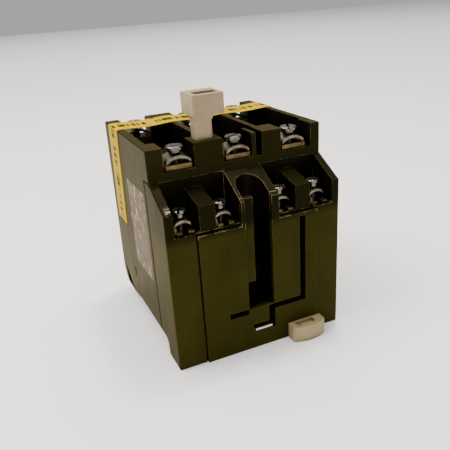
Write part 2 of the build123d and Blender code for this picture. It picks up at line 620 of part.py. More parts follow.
# ---------------------------------------------------------------- rail clip
with BuildPart() as rail_clip:
    with BuildSketch(Plane.XY.offset(0.3)):
        with BuildLine():
            front = FRONT_Y - CLIP_REACH
            Polyline(
                (12.0, front + 2.0), (12.0, FRONT_Y - 1.1), (27.4, FRONT_Y - 1.1), (27.4, front + 2.0),
            )
            ThreePointArc((27.4, front + 2.0), (19.7, front), (12.0, front + 2.0))
        make_face()
    extrude(amount=6.7)
    fillet(rail_clip.edges().filter_by(Axis.Z).group_by(Axis.Y)[0], 0.8)
    # thumb hollow in the top, with a small hole in its floor
    block(14.4, 23.2, -5.0, -1.9, 5.4, 8.0, mode=Mode.SUBTRACT)
    upright(17.0, -3.4, 1.1, 3.0, 8.0, mode=Mode.SUBTRACT)
    # tongue that slides in the block and grips the rail brim
    block(14.0, 25.4, -1.2, 15.2, 1.8, 5.7)
    with BuildSketch(side_plane(14.0)) as tongue_tip:
        with BuildLine():
            Polyline((15.2, 1.8), (15.2, 5.7), (18.2, 5.7), (16.6, 1.8), close=True)
        make_face()
    extrude(tongue_tip.sketch, amount=11.4)
    block(17.4, 22.0, 3.0, 12.0, 0, 8, mode=Mode.SUBTRACT)
save(rail_clip, "rail_clip")

# ---------------------------------------------------------------- marker holder
with BuildPart() as marker_holder:
    block(*STEM_X, *STEM_DEPTH, STEM_BOTTOM_Z, HEAD_Z[0])
    chamfer(marker_holder.edges().filter_by(Axis.Z), 1.1)
    with BuildSketch(Plane.XY.offset(HEAD_Z[0] - 2.2)) as neck:
        with Locations((sum(STEM_X) / 2, FRONT_Y + sum(STEM_DEPTH) / 2)):
            Rectangle(6.6, 5.2)
    with BuildSketch(Plane.XY.offset(HEAD_Z[0])) as flare:
        with Locations((sum(STEM_X) / 2, FRONT_Y + sum(STEM_DEPTH) / 2)):
            Rectangle(8.4, 6.8)
    loft([neck.sketch, flare.sketch])
    block(-16.8, -16.8 + HEAD_SIDE, 16.4, 16.4 + HEAD_SIDE, *HEAD_Z)
    upper = marker_holder.edges().filter_by(Axis.Z).group_by(Axis.Z)[-1]
    fillet(upper, 0.6)
    fillet(marker_holder.faces().sort_by(Axis.Z)[-1].edges(), 0.3)
    block(-14.8, -5.4, 18.0, 23.6, HEAD_Z[0] + 1.5, 110, mode=Mode.SUBTRACT)
save(marker_holder, "marker_holder")

# ---------------------------------------------------------------- tape and plates
with BuildPart() as seal_tape:
    with BuildSketch(Plane.XY.offset(BODY_H)):
        with BuildLine():
            tape_x = HALF_W + TAPE_T
            Polyline(
                (-tape_x, FRONT_Y + 54.5), (tape_x, FRONT_Y + 55.5),
                (tape_x, FRONT_Y + 69.0), (-tape_x, FRONT_Y + 69.5), close=True,
            )
        make_face()
    extrude(amount=TAPE_T)
    with BuildSketch(side_plane(-HALF_W - TAPE_T)) as left_fall:
        with BuildLine():
            Polyline((54.5, BODY_H), (69.5, BODY_H), (73.2, 43.0), (59.0, 43.0), close=True)
        make_face()
    extrude(left_fall.sketch, amount=TAPE_T)
    with BuildSketch(side_plane(HALF_W)) as right_fall:
        with BuildLine():
            Polyline((55.5, BODY_H), (69.0, BODY_H), (68.6, 76.0), (56.0, 77.0), close=True)
        make_face()
    extrude(right_fall.sketch, amount=TAPE_T)
save(seal_tape, "seal_tape")

with BuildPart() as rating_plate:
    block(-HALF_W, -HALF_W + 0.4, 24.1, 48.4, 29.1, 67.9)
save(rating_plate, "rating_plate")

with BuildPart() as retaining_clip:
    block(*RETAINER_X, -1.0, 9.8, *RETAINER_Z)
save(retaining_clip, "retaining_clip")

# ---------------------------------------------------------------- assembly screws
with BuildPart() as housing_screws:
    for side in (-1, 1):
        x = side * HOUSING_SCREW_X
        upright(x, 24.6, 3.0, RAIL_Z + 0.1, RAIL_Z + 1.4)
        upright(x, 24.6, 1.5, RAIL_Z + 1.4, 20.0)
        upright(x, 70.7, 3.0, RAIL_Z - 2.2, RAIL_Z)
        upright(x, 70.7, 1.5, RAIL_Z, 20.0)
save(housing_screws, "housing_screws")

with BuildPart() as block_screws:
    for x in BLOCK_SCREW_X:
        lengthwise(x, BLOCK_SCREW_Z, 3.0, 9.6, 12.0)
        lengthwise(x, BLOCK_SCREW_Z, 1.5, 12.0, 24.0)
save(block_screws, "block_screws")
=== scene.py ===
import json
import math

import bpy
from mathutils import Matrix, Vector, noise


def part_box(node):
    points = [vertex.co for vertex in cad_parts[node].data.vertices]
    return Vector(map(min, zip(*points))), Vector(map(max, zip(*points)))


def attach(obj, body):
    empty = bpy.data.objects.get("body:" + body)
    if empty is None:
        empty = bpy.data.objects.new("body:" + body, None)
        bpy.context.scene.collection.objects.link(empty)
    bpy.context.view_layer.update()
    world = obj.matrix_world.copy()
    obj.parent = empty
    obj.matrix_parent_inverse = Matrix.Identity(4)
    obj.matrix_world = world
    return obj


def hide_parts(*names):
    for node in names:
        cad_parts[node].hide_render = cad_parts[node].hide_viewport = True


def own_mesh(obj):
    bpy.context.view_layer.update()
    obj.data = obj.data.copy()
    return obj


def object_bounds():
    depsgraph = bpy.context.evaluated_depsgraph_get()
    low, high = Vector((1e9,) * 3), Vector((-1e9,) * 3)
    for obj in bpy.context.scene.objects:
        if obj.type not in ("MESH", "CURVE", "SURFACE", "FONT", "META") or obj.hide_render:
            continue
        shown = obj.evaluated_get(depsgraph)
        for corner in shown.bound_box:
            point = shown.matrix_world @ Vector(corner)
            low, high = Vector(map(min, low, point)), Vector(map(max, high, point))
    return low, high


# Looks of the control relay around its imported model. Metres, in the model's own frame.

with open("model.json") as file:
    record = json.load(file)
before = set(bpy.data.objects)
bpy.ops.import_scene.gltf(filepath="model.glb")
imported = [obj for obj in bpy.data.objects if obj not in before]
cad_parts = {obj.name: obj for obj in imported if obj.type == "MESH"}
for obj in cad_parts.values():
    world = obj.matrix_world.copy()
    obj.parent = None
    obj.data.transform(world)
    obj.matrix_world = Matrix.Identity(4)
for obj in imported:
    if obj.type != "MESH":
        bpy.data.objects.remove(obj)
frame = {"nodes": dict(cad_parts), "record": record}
cad_box = [list(corner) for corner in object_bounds()]

MM = 0.001
FRONT_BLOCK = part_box("front_block")
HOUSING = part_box("main_housing")
FRONT_Y = FRONT_BLOCK[0][1]
CENTRE_Z = (FRONT_BLOCK[0][2] + HOUSING[1][2]) / 2

CAMERA_LENS = 43.7
CAMERA_PLACE = (-0.0880, FRONT_Y - 0.1737, 0.1384)
CAMERA_AIM = (23.1, -23.0, -3.8)
FLOOR_HALF = 3.0
FLOOR_GAP = 0.2 * MM
DAYLIGHT = (1.0, 0.985, 0.96)
ROOM_STRENGTH = 0.45
LAMPS = (
    ("ceiling", (0.0, 0.5, 2.0), 3.0, 80.0, DAYLIGHT),
    ("key", (-0.50, 0.05, 0.70), 0.4, 6.0, (1.0, 0.94, 0.86)),
    ("overhead", (0.147, 0.10, 0.73), 0.10, 3.0, (1.0, 0.90, 0.84)),
    ("near_camera", (-0.02, FRONT_Y - 0.25, 0.25), 0.04, 0.15, (1.0, 0.97, 0.94)),
)

TAPE_WIDTH = 15 * MM
TAPE_BEND = 0.6 * MM
TAPE_SAG = 0.45 * MM
TAPE_WRINKLE = 0.05 * MM
TAPE_ROWS = 11
CHANNEL_REACH = 12.4 * MM

SPRING_TURNS = 6
RETURN_SPRING = (1.9 * MM, 0.4 * MM)
CLIP_SPRING = (1.3 * MM, 0.25 * MM)


def corners_of(node):
    """Corner points of a CAD node."""
    return [vertex.co.copy() for vertex in frame["nodes"][node].data.vertices]


def sill_height():
    """Top of the low front wall under the small terminals."""
    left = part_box("front_plate")[0].x + 0.1 * MM
    return max(point.z for point in corners_of("front_plate") if point.x < left)


SILL_Z = sill_height()


# ---------------------------------------------------------------- camera, floor and light
def aim(azimuth, elevation, roll):
    """Turn of a camera that looks along a compass azimuth from +Y and an elevation."""
    az, el, turn = math.radians(azimuth), math.radians(elevation), math.radians(roll)
    forward = Vector((math.sin(az) * math.cos(el), math.cos(az) * math.cos(el), math.sin(el)))
    level = Vector((forward.y, -forward.x, 0.0)).normalized()
    upward = level.cross(forward)
    right = level * math.cos(turn) + upward * math.sin(turn)
    up = upward * math.cos(turn) - level * math.sin(turn)
    return Matrix((right, up, -forward)).transposed().to_euler()


def make_camera():
    """Camera at the viewing angle of the main picture."""
    lens = bpy.data.cameras.new("photo_camera")
    lens.lens = CAMERA_LENS
    lens.sensor_width = 36.0
    lens.clip_start = 0.01
    camera = bpy.data.objects.new("photo_camera", lens)
    camera.location = CAMERA_PLACE
    camera.rotation_euler = aim(*CAMERA_AIM)
    bpy.context.collection.objects.link(camera)
    bpy.context.scene.camera = camera


def area_light(name, place, size, power, colour):
    """Soft square lamp at a place, turned to the middle of the relay."""
    inward = Vector((0.0, 0.0, CENTRE_Z)) - Vector(place)
    data = bpy.data.lights.new(name, "AREA")
    data.size = size
    data.energy = power
    data.color = colour
    lamp = bpy.data.objects.new(name, data)
    lamp.location = place
    lamp.rotation_euler = inward.to_track_quat("-Z", "Y").to_euler()
    bpy.context.collection.objects.link(lamp)


def link_mesh(name, points, faces, material):
    """New object from points and faces, in one material."""
    mesh = bpy.data.meshes.new(name)
    mesh.from_pydata(points, [], faces)
    mesh.materials.append(material)
    made = bpy.data.objects.new(name, mesh)
    bpy.context.collection.objects.link(made)
    return made


def make_floor():
    """Pale floor that the relay stands on."""
    height, half = cad_box[0][2] - FLOOR_GAP, FLOOR_HALF
    corners = [(-half, -half, height), (half, -half, height), (half, half, height), (-half, half, height)]
    floor = link_mesh("floor", corners, [(0, 1, 2, 3)], floor_material())


def make_light():
    """Dim pale room with a wide ceiling light and three small lamps."""
    world = bpy.data.worlds.new("studio")
    world.use_nodes = True
    backdrop = world.node_tree.nodes["Background"]
    backdrop.inputs["Color"].default_value = (*DAYLIGHT, 1.0)
    backdrop.inputs["Strength"].default_value = ROOM_STRENGTH
    bpy.context.scene.world = world
    for lamp in LAMPS:
        area_light(*lamp)


# ---------------------------------------------------------------- shader building blocks
class Shader:
    """Small wrapper that adds and joins the nodes of one material."""

    def __init__(self, name):
        self.material = bpy.data.materials.new(name)
        self.material.use_nodes = True
        self.tree = self.material.node_tree
        self.surface = self.tree.nodes["Principled BSDF"]
        self.place = self.node("ShaderNodeTexCoord").outputs["Object"]

    def node(self, kind, **settings):
        """New shader node with some of its properties set."""
        made = self.tree.nodes.new(kind)
        for key, value in settings.items():
            setattr(made, key, value)
        return made

    def join(self, source, socket):
        self.tree.links.new(source, socket)

    def put(self, **values):
        """Constant values of the surface's own sockets."""
        for key, value in values.items():
            self.surface.inputs[key.replace("_", " ")].default_value = value

    def feed(self, socket, value):
        """Give a socket a number, a colour or another socket."""
        if isinstance(value, (int, float)):
            socket.default_value = value
        elif isinstance(value, tuple):
            socket.default_value = value + (1.0,)
        else:
            self.join(value, socket)

    def stretched(self, scale, source=None):
        """Coordinates scaled differently along each axis."""
        mapping = self.node("ShaderNodeMapping")
        mapping.inputs["Scale"].default_value = scale
        self.join(source or self.place, mapping.inputs["Vector"])
        return mapping.outputs["Vector"]

    def part_of(self, source, axis):
        """One part of a vector socket."""
        made = self.node("ShaderNodeSeparateXYZ")
        self.join(source, made.inputs[0])
        return made.outputs[axis]

    def noise(self, scale, detail=3.0, rough=0.55, vector=None, warp=0.0):
        """Cloudy pattern between 0 and 1."""
        made = self.node("ShaderNodeTexNoise")
        made.inputs["Scale"].default_value = scale
        made.inputs["Detail"].default_value = detail
        made.inputs["Roughness"].default_value = rough
        made.inputs["Distortion"].default_value = warp
        self.join(vector or self.place, made.inputs["Vector"])
        return made.outputs["Fac"]

    def ramp(self, value, low, high, bottom=0.0, top=1.0):
        """Value moved from one range to another and held at its ends."""
        made = self.node("ShaderNodeMapRange")
        for name, number in (("From Min", low), ("From Max", high), ("To Min", bottom), ("To Max", top)):
            made.inputs[name].default_value = number
        self.join(value, made.inputs["Value"])
        return made.outputs["Result"]

    def maths(self, operation, first, second=0.0):
        made = self.node("ShaderNodeMath", operation=operation)
        self.feed(made.inputs[0], first)
        self.feed(made.inputs[1], second)
        return made.outputs[0]

    def times(self, *values):
        product = values[0]
        for value in values[1:]:
            product = self.maths("MULTIPLY", product, value)
        return product

    def blend(self, amount, first, second):
        """Colour between two colours or colour sockets."""
        made = self.node("ShaderNodeMix", data_type="RGBA")
        self.feed(made.inputs["Factor"], amount)
        self.feed(made.inputs[6], first)
        self.feed(made.inputs[7], second)
        return made.outputs[2]

    def upward(self):
        """How far each point faces up: 0 for walls, 1 for level tops."""
        normal = self.node("ShaderNodeNewGeometry").outputs["Normal"]
        return self.ramp(self.part_of(normal, "Z"), 0.6, 0.95)

    def edges(self, radius):
        """Rounded normal of the edges, and how strongly each point lies on an edge."""
        soft = self.node("ShaderNodeBevel", samples=6)
        soft.inputs["Radius"].default_value = radius
        flat = self.node("ShaderNodeNewGeometry").outputs["Normal"]
        dot = self.node("ShaderNodeVectorMath", operation="DOT_PRODUCT")
        self.join(soft.outputs["Normal"], dot.inputs[0])
        self.join(flat, dot.inputs[1])
        return soft.outputs["Normal"], self.ramp(dot.outputs["Value"], 0.995, 0.82)

    def hollows(self, distance, open_share=0.75, closed_share=0.25, alone=False):
        """How deep each point lies in a corner or cavity: 0 in the open, 1 inside."""
        made = self.node("ShaderNodeAmbientOcclusion", samples=6, only_local=alone)
        made.inputs["Distance"].default_value = distance
        return self.ramp(made.outputs["AO"], open_share, closed_share)

    def bump(self, height, strength, distance, normal=None):
        """Normal with fine relief on it."""
        made = self.node("ShaderNodeBump")
        made.inputs["Strength"].default_value = strength
        made.inputs["Distance"].default_value = distance
        self.join(height, made.inputs["Height"])
        if normal is not None:
            self.join(normal, made.inputs["Normal"])
        return made.outputs["Normal"]

    def film(self, tint):
        """Thin clear film whose tint deepens where the surface is seen at a grazing angle."""
        self.put(Coat_Weight=1.0, Coat_IOR=1.05, Coat_Roughness=0.45, Coat_Tint=tint + (1.0,))

    def finish(self, colour, roughness, normal):
        """Join the surface's colour, roughness and normal, and hand over the material."""
        self.feed(self.surface.inputs["Base Color"], colour)
        self.feed(self.surface.inputs["Roughness"], roughness)
        self.join(normal, self.surface.inputs["Normal"])
        return self.material


def brighter(colour, factor):
    """Colour times a factor, which may also darken it."""
    return tuple(min(1.0, factor * part) for part in colour)


# ---------------------------------------------------------------- plastics
def floor_material():
    """Matt, slightly grainy pale board."""
    s = Shader("pale_floor")
    grain = s.noise(900.0, 2.0)
    colour = s.blend(grain, (0.90, 0.90, 0.89), (0.93, 0.93, 0.92))
    return s.finish(colour, s.ramp(grain, 0.3, 0.7, 0.8, 0.95), s.bump(grain, 0.05, 0.0001))


def sill_highlight(s, on_edge):
    """Painted highlight: bright dashes along the top edge of the low front wall."""
    height, depth = s.part_of(s.place, "Z"), s.part_of(s.place, "Y")
    near = s.times(s.ramp(height, SILL_Z - 1.5 * MM, SILL_Z - 1.1 * MM),
                   s.ramp(height, SILL_Z + 1.6 * MM, SILL_Z + 1.2 * MM),
                   s.ramp(depth, FRONT_Y + 2.2 * MM, FRONT_Y + 1.8 * MM))
    dashes = s.noise(1.0, 2.0, 0.6, s.stretched((520.0, 60.0, 60.0)))
    return s.times(near, s.ramp(on_edge, 0.1, 0.4), s.ramp(dashes, 0.47, 0.54))


def well_rim_highlight(s, on_edge, scuff):
    """Painted highlight on the rims of the centre block and its well."""
    across, height = s.part_of(s.place, "X"), s.part_of(s.place, "Z")
    left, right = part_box("small_terminal_2")[1].x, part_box("small_terminal_3")[0].x
    near = s.times(s.ramp(across, left, left + 0.5 * MM), s.ramp(across, right, right - 0.5 * MM),
                   s.ramp(height, SILL_Z + 6 * MM, SILL_Z + 10 * MM))
    return s.times(near, s.ramp(on_edge, 0.15, 0.6), s.ramp(scuff, 0.36, 0.52))


def slope_glint(s, scuff):
    """Painted glint: pale patch at the front end of the left wall's slope."""
    left = FRONT_BLOCK[0].x
    front = [p.z for p in corners_of("front_block") if (p.x - left) + (p.y - FRONT_Y) < 1 * MM]
    across, depth, height = (s.part_of(s.place, axis) for axis in "XYZ")
    near = s.times(s.ramp(across, left + 1.0 * MM, left + 1.8 * MM),
                   s.ramp(across, left + 3.4 * MM, left + 3.3 * MM),
                   s.ramp(depth, FRONT_Y + 4.0 * MM, FRONT_Y + 2.0 * MM),
                   s.ramp(height, max(front) - 0.9 * MM, max(front) - 0.6 * MM))
    return s.times(near, s.ramp(scuff, 0.44, 0.58))


def phenolic(name, dark, light, edge, dust_and_lit_top, gloss, rough, sill=False):
    """Moulded thermoset under a thin brown film: mottling, filler speckle, edges lightened by wear and
    painted highlight, dusty tops lightened as painted light, painted shade in the hollows, and on the front
    block painted shade above the sill with painted highlights.
    """
    s = Shader(name)
    mottle = s.noise(45.0, 4.0, 0.6, warp=0.6)
    filler = s.noise(2600.0, 2.0, 0.7)
    smear = s.noise(150.0, 5.0, 0.65, s.stretched((1.0, 1.0, 0.22)), 1.2)
    scuff = s.noise(900.0, 4.0, 0.7, s.stretched((0.25, 1.0, 0.5)), 0.5)
    rounded, on_edge = s.edges(0.4 * MM)
    body = s.blend(s.ramp(mottle, 0.3, 0.7), dark, light)
    body = s.blend(s.ramp(filler, 0.64, 0.74, 0.0, 0.5), body, brighter(light, 2.2))
    # Painted shade: pockets, hollows and crevices darkened towards near black.
    deep = s.hollows(26 * MM, 0.95, 0.62, alone=True)
    body = s.blend(deep, body, brighter(dark, 0.08))
    # Dusty film on upward faces, lightened further as painted light on the tops; kept out of the hollows.
    dust_and_top_light = s.times(s.upward(), s.ramp(smear, 0.35, 0.7, 0.25, 0.9), s.ramp(deep, 0.0, 0.8, 1.0, 0.0))
    body = s.blend(s.times(dust_and_top_light, 0.6), body, dust_and_lit_top)
    if sill:
        # Painted shade: the front block above its low front wall darkened.
        upper = s.ramp(s.part_of(s.place, "Z"), SILL_Z - 3 * MM, SILL_Z + 1 * MM, 0.0, 0.85)
        body = s.blend(upper, body, brighter(dark, 0.12))
    # Rubbed edges lightened, partly wear and partly painted highlight.
    worn = s.times(on_edge, s.ramp(scuff, 0.42, 0.60))
    colour = s.blend(worn, body, edge)
    if sill:
        # Painted highlight: bright dashes on the top edge of the low front wall.
        colour = s.blend(sill_highlight(s, on_edge), colour, (0.42, 0.37, 0.28))
        # Painted glint on the front end of the left wall's slope.
        colour = s.blend(slope_glint(s, scuff), colour, (0.42, 0.33, 0.34))
        # Painted highlight on the rims of the centre block and its well.
        colour = s.blend(well_rim_highlight(s, on_edge, scuff), colour, (0.36, 0.30, 0.20))
    shine = s.ramp(smear, 0.3, 0.72, *rough)
    shine = s.maths("ADD", shine, s.times(dust_and_top_light, 0.2))
    normal = s.bump(mottle, 0.10, 0.0005, s.bump(filler, 0.12, 0.00004, rounded))
    s.put(IOR=1.26, Specular_IOR_Level=gloss, Specular_Tint=(1.0, 0.86, 0.5, 1.0))
    s.film((0.815, 0.765, 0.61))
    return s.finish(colour, shine, normal)


def housing_phenolic():
    return phenolic("housing_phenolic", (0.0095, 0.0092, 0.0016), (0.0160, 0.0155, 0.0028),
                    (0.17, 0.14, 0.10), (0.10, 0.088, 0.06), 0.14, (0.30, 0.46))


def front_phenolic():
    return phenolic("front_phenolic", (0.0248, 0.0245, 0.0032), (0.0350, 0.0347, 0.0050),
                    (0.13, 0.112, 0.055), (0.06, 0.055, 0.02), 0.11, (0.32, 0.46), sill=True)


def base_phenolic():
    return phenolic("base_phenolic", (0.0040, 0.0034, 0.0010), (0.0070, 0.0060, 0.0020),
                    (0.04, 0.033, 0.02), (0.05, 0.042, 0.03), 0.15, (0.42, 0.6))


def carrier_plastic():
    return phenolic("carrier_plastic", (0.0060, 0.0056, 0.0045), (0.0100, 0.0095, 0.0080),
                    (0.03, 0.028, 0.025), (0.04, 0.037, 0.03), 0.3, (0.4, 0.55))


def pad_rubber():
    return phenolic("pad_rubber", (0.0080, 0.0080, 0.0080), (0.0130, 0.0130, 0.0130),
                    (0.02, 0.02, 0.02), (0.04, 0.037, 0.03), 0.2, (0.75, 0.9))


def thermoplastic(name, dark, light, grime_and_shade, rough, glow):
    """Off-white or coloured moulding with faint clouding, patchy dirt, painted shade in its corners and soft
    edges with a painted highlight.
    """
    s = Shader(name)
    cloud = s.noise(120.0, 4.0, 0.6, warp=0.5)
    dirt = s.noise(420.0, 5.0, 0.7)
    rounded, on_edge = s.edges(0.45 * MM)
    body = s.blend(s.ramp(cloud, 0.3, 0.7), dark, light)
    body = s.blend(s.ramp(dirt, 0.56, 0.75, 0.0, 0.35), body, grime_and_shade)
    # Painted shade: corners darkened towards the dark dirt colour.
    body = s.blend(s.times(s.hollows(3 * MM), 0.8), body, grime_and_shade)
    # Painted highlight: edges lightened.
    colour = s.blend(s.times(on_edge, 0.4), body, brighter(light, 1.25))
    s.put(Subsurface_Weight=glow, Subsurface_Radius=(0.0020, 0.0014, 0.0009), IOR=1.49)
    normal = s.bump(cloud, 0.10, 0.0003, s.bump(dirt, 0.10, 0.00006, rounded))
    return s.finish(colour, s.ramp(dirt, 0.3, 0.7, *rough), normal)


def holder_ivory():
    return thermoplastic("holder_ivory", (0.255, 0.188, 0.102), (0.32, 0.242, 0.138),
                         (0.08, 0.045, 0.02), (0.36, 0.52), 0.12)


def clip_ivory():
    return thermoplastic("clip_ivory", (0.27, 0.205, 0.095), (0.34, 0.265, 0.13),
                         (0.10, 0.052, 0.008), (0.42, 0.62), 0.15)


def bobbin_plastic():
    return thermoplastic("bobbin_plastic", (0.26, 0.23, 0.15), (0.33, 0.29, 0.2),
                         (0.08, 0.06, 0.04), (0.45, 0.6), 0.1)


def winding_enamel():
    """Lacquered copper winding with the ridges of its turns."""
    s = Shader("winding_enamel")
    turns = s.node("ShaderNodeTexWave", bands_direction="Z")
    turns.inputs["Scale"].default_value = 800.0
    turns.inputs["Distortion"].default_value = 0.6
    s.join(s.place, turns.inputs["Vector"])
    ridge = turns.outputs["Fac"]
    lacquer = s.noise(240.0, 4.0)
    colour = s.blend(s.ramp(lacquer, 0.35, 0.65), (0.24, 0.07, 0.02), (0.36, 0.13, 0.04))
    colour = s.blend(s.ramp(ridge, 0.0, 0.35, 0.6, 0.0), colour, (0.07, 0.02, 0.008))
    s.put(Coat_Weight=0.5, Coat_Roughness=0.2)
    return s.finish(colour, s.ramp(lacquer, 0.3, 0.7, 0.25, 0.4), s.bump(ridge, 0.5, 0.0002))


def lead_insulation():
    return thermoplastic("lead_insulation", (0.28, 0.02, 0.02), (0.38, 0.04, 0.03),
                         (0.10, 0.012, 0.01), (0.35, 0.5), 0.0)


# ---------------------------------------------------------------- metals
def metal(name, dark, light, stain_and_shade, rough, brushing, staining):
    """Plated or bare metal: fine scratches, patchy staining, painted shade in the corners and painted
    highlights on the edges.
    """
    s = Shader(name)
    streak = s.noise(1400.0, 3.0, 0.6, s.stretched(brushing))
    patch = s.noise(300.0, 4.0, 0.65, warp=0.8)
    rounded, on_edge = s.edges(0.15 * MM)
    body = s.blend(s.ramp(streak, 0.3, 0.7), dark, light)
    body = s.blend(s.ramp(patch, 0.46, 0.68, 0.0, staining), body, stain_and_shade)
    # Painted shade: corners darkened with a deeper staining tone.
    body = s.blend(s.times(s.hollows(2 * MM), 0.85), body, brighter(stain_and_shade, 0.35))
    # Painted highlight: edges lightened.
    colour = s.blend(s.times(on_edge, 0.75), body, brighter(light, 2.0))
    s.put(Metallic=1.0)
    return s.finish(colour, s.ramp(patch, 0.3, 0.75, *rough), s.bump(streak, 0.15, 0.00003, rounded))


def terminal_brass():
    return metal("terminal_brass", (0.085, 0.058, 0.022), (0.17, 0.125, 0.056), (0.035, 0.02, 0.006),
                 (0.30, 0.52), (0.2, 1.0, 1.0), 0.7)


def zinc_clamp():
    return metal("zinc_clamp", (0.12, 0.104, 0.068), (0.23, 0.205, 0.15), (0.05, 0.036, 0.016),
                 (0.28, 0.5), (0.3, 1.0, 1.0), 0.6)


def zinc_screw():
    return metal("zinc_screw", (0.09, 0.080, 0.068), (0.19, 0.172, 0.152), (0.04, 0.032, 0.022),
                 (0.20, 0.42), (1.0, 1.0, 1.0), 0.65)


def spring_steel():
    return metal("spring_steel", (0.55, 0.51, 0.42), (0.72, 0.68, 0.57), (0.25, 0.2, 0.12),
                 (0.25, 0.4), (1.0, 0.3, 1.0), 0.3)


def contact_silver():
    return metal("contact_silver", (0.62, 0.62, 0.60), (0.78, 0.78, 0.76), (0.2, 0.18, 0.15),
                 (0.3, 0.5), (1.0, 1.0, 1.0), 0.4)


def bridge_copper():
    return metal("bridge_copper", (0.50, 0.24, 0.13), (0.65, 0.36, 0.22), (0.18, 0.08, 0.05),
                 (0.3, 0.5), (1.0, 0.2, 1.0), 0.5)


def ring_copper():
    return metal("ring_copper", (0.52, 0.25, 0.14), (0.66, 0.37, 0.23), (0.18, 0.08, 0.05),
                 (0.3, 0.45), (1.0, 1.0, 1.0), 0.4)


def core_steel():
    """Ground face of a stack of steel sheets."""
    s = Shader("core_steel")
    sheets = s.node("ShaderNodeTexWave", bands_direction="Y", wave_profile="SAW")
    sheets.inputs["Scale"].default_value = 320.0
    s.join(s.place, sheets.inputs["Vector"])
    gap = s.ramp(sheets.outputs["Fac"], 0.0, 0.25, 1.0, 0.0)
    patch = s.noise(260.0, 4.0, 0.6)
    colour = s.blend(s.ramp(patch, 0.35, 0.65), (0.22, 0.22, 0.22), (0.34, 0.34, 0.34))
    colour = s.blend(s.times(gap, 0.7), colour, (0.07, 0.05, 0.04))
    s.put(Metallic=1.0)
    return s.finish(colour, s.ramp(patch, 0.3, 0.7, 0.35, 0.55), s.bump(gap, 0.3, 0.0001))


def plate_aluminium():
    """Worn blank rating plate: dull metal film, rubbed through in patches, with faint ruled lines."""
    s = Shader("plate_aluminium")
    rub = s.noise(110.0, 6.0, 0.72, s.stretched((1.0, 1.0, 0.45)), 1.6)
    flecks = s.noise(330.0, 5.0, 0.7, s.stretched((1.0, 1.0, 0.6)), 0.8)
    fine = s.noise(1500.0, 3.0, 0.6, s.stretched((1.0, 0.2, 1.0)))
    rows = s.node("ShaderNodeTexWave", bands_direction="Z")
    rows.inputs["Scale"].default_value = 55.0
    s.join(s.place, rows.inputs["Vector"])
    line = s.times(s.ramp(rows.outputs["Fac"], 0.93, 0.98), 0.35)
    colour = s.blend(s.ramp(fine, 0.3, 0.7), (0.030, 0.024, 0.014), (0.046, 0.037, 0.022))
    colour = s.blend(s.ramp(rub, 0.50, 0.66), colour, (0.15, 0.118, 0.085))
    rubbed = s.times(s.ramp(flecks, 0.54, 0.62), s.ramp(rub, 0.42, 0.54))
    colour = s.blend(rubbed, colour, (0.75, 0.64, 0.58))
    colour = s.blend(line, colour, (0.02, 0.016, 0.01))
    s.put(Specular_IOR_Level=0.25)
    s.film((0.87, 0.815, 0.74))
    normal = s.bump(rub, 0.2, 0.0001, s.bump(fine, 0.1, 0.00003))
    return s.finish(colour, s.ramp(rub, 0.4, 0.7, 0.34, 0.6), normal)


# ---------------------------------------------------------------- tape
def tape_yellow():
    """Glossy yellow film with one row of plain dark bars, worn and dusty."""
    s = Shader("tape_yellow")
    along = s.node("ShaderNodeTexCoord").outputs["UV"]
    across = s.part_of(along, "Y")
    cells = s.noise(1.0, 0.0, 0.0, s.stretched((640.0, 0.0, 0.0), along))
    in_row = s.times(s.ramp(across, 4.8 * MM, 5.1 * MM), s.ramp(across, 10.2 * MM, 9.9 * MM))
    gaps = s.ramp(s.noise(1.0, 0.0, 0.0, s.stretched((170.0, 0.0, 0.0), along)), 0.36, 0.42)
    bars = s.times(in_row, s.ramp(cells, 0.47, 0.50), gaps)
    wear = s.noise(700.0, 4.0, 0.7)
    tint = s.ramp(s.noise(160.0, 4.0, 0.6), 0.3, 0.7)
    colour = s.blend(tint, (0.56, 0.385, 0.0), (0.69, 0.48, 0.001))
    colour = s.blend(s.times(bars, s.ramp(wear, 0.3, 0.5, 0.6, 1.0)), colour, (0.02, 0.014, 0.002))
    colour = s.blend(s.ramp(wear, 0.6, 0.75, 0.0, 0.35), colour, (0.30, 0.22, 0.08))
    s.put(Specular_IOR_Level=0.05, Specular_Tint=(1.0, 0.85, 0.4, 1.0))
    s.film((0.88, 0.86, 0.60))
    return s.finish(colour, s.ramp(wear, 0.3, 0.7, 0.42, 0.6), s.bump(tint, 0.2, 0.0002))


def tape_ends():
    """Front and back corner of the tape at its left end, left fold, right fold and right end."""
    low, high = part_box("seal_tape")
    near = 0.3 * MM
    points = corners_of("seal_tape")
    groups = (
        [p for p in points if p.x < 0 and p.z < low.z + near],
        [p for p in points if p.x < low.x + near and p.z > high.z - near],
        [p for p in points if p.x > high.x - near and p.z > high.z - near],
        [p for p in points if p.x > 0 and p.z < high.z - 5 * MM],
    )
    return [(min(group, key=lambda p: p.y), max(group, key=lambda p: p.y)) for group in groups]


def channel_spans():
    """Limits across X of the three channels that the tape bridges."""
    covers = [point.x for point in corners_of("arc_covers")]
    spans = []
    for number in (1, 2, 3):
        low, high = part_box(f"front_screw_{number}")
        middle = (low.x + high.x) / 2
        inside = [x for x in covers if abs(x - middle) < CHANNEL_REACH]
        spans.append((min(inside), max(inside)))
    return spans


def straight(start, end, normal, steps):
    """Evenly spaced points of a flat stretch of tape, each with its normal."""
    return [(start.lerp(end, step / steps), normal) for step in range(steps + 1)]


def fold(centre, start):
    """Points of the tape round an upper edge, from a starting angle a quarter turn on."""
    points = []
    for step in range(1, 7):
        angle = start - step * math.pi / 14
        normal = Vector((math.cos(angle), 0, math.sin(angle)))
        points.append((centre + TAPE_BEND * normal, normal))
    return points


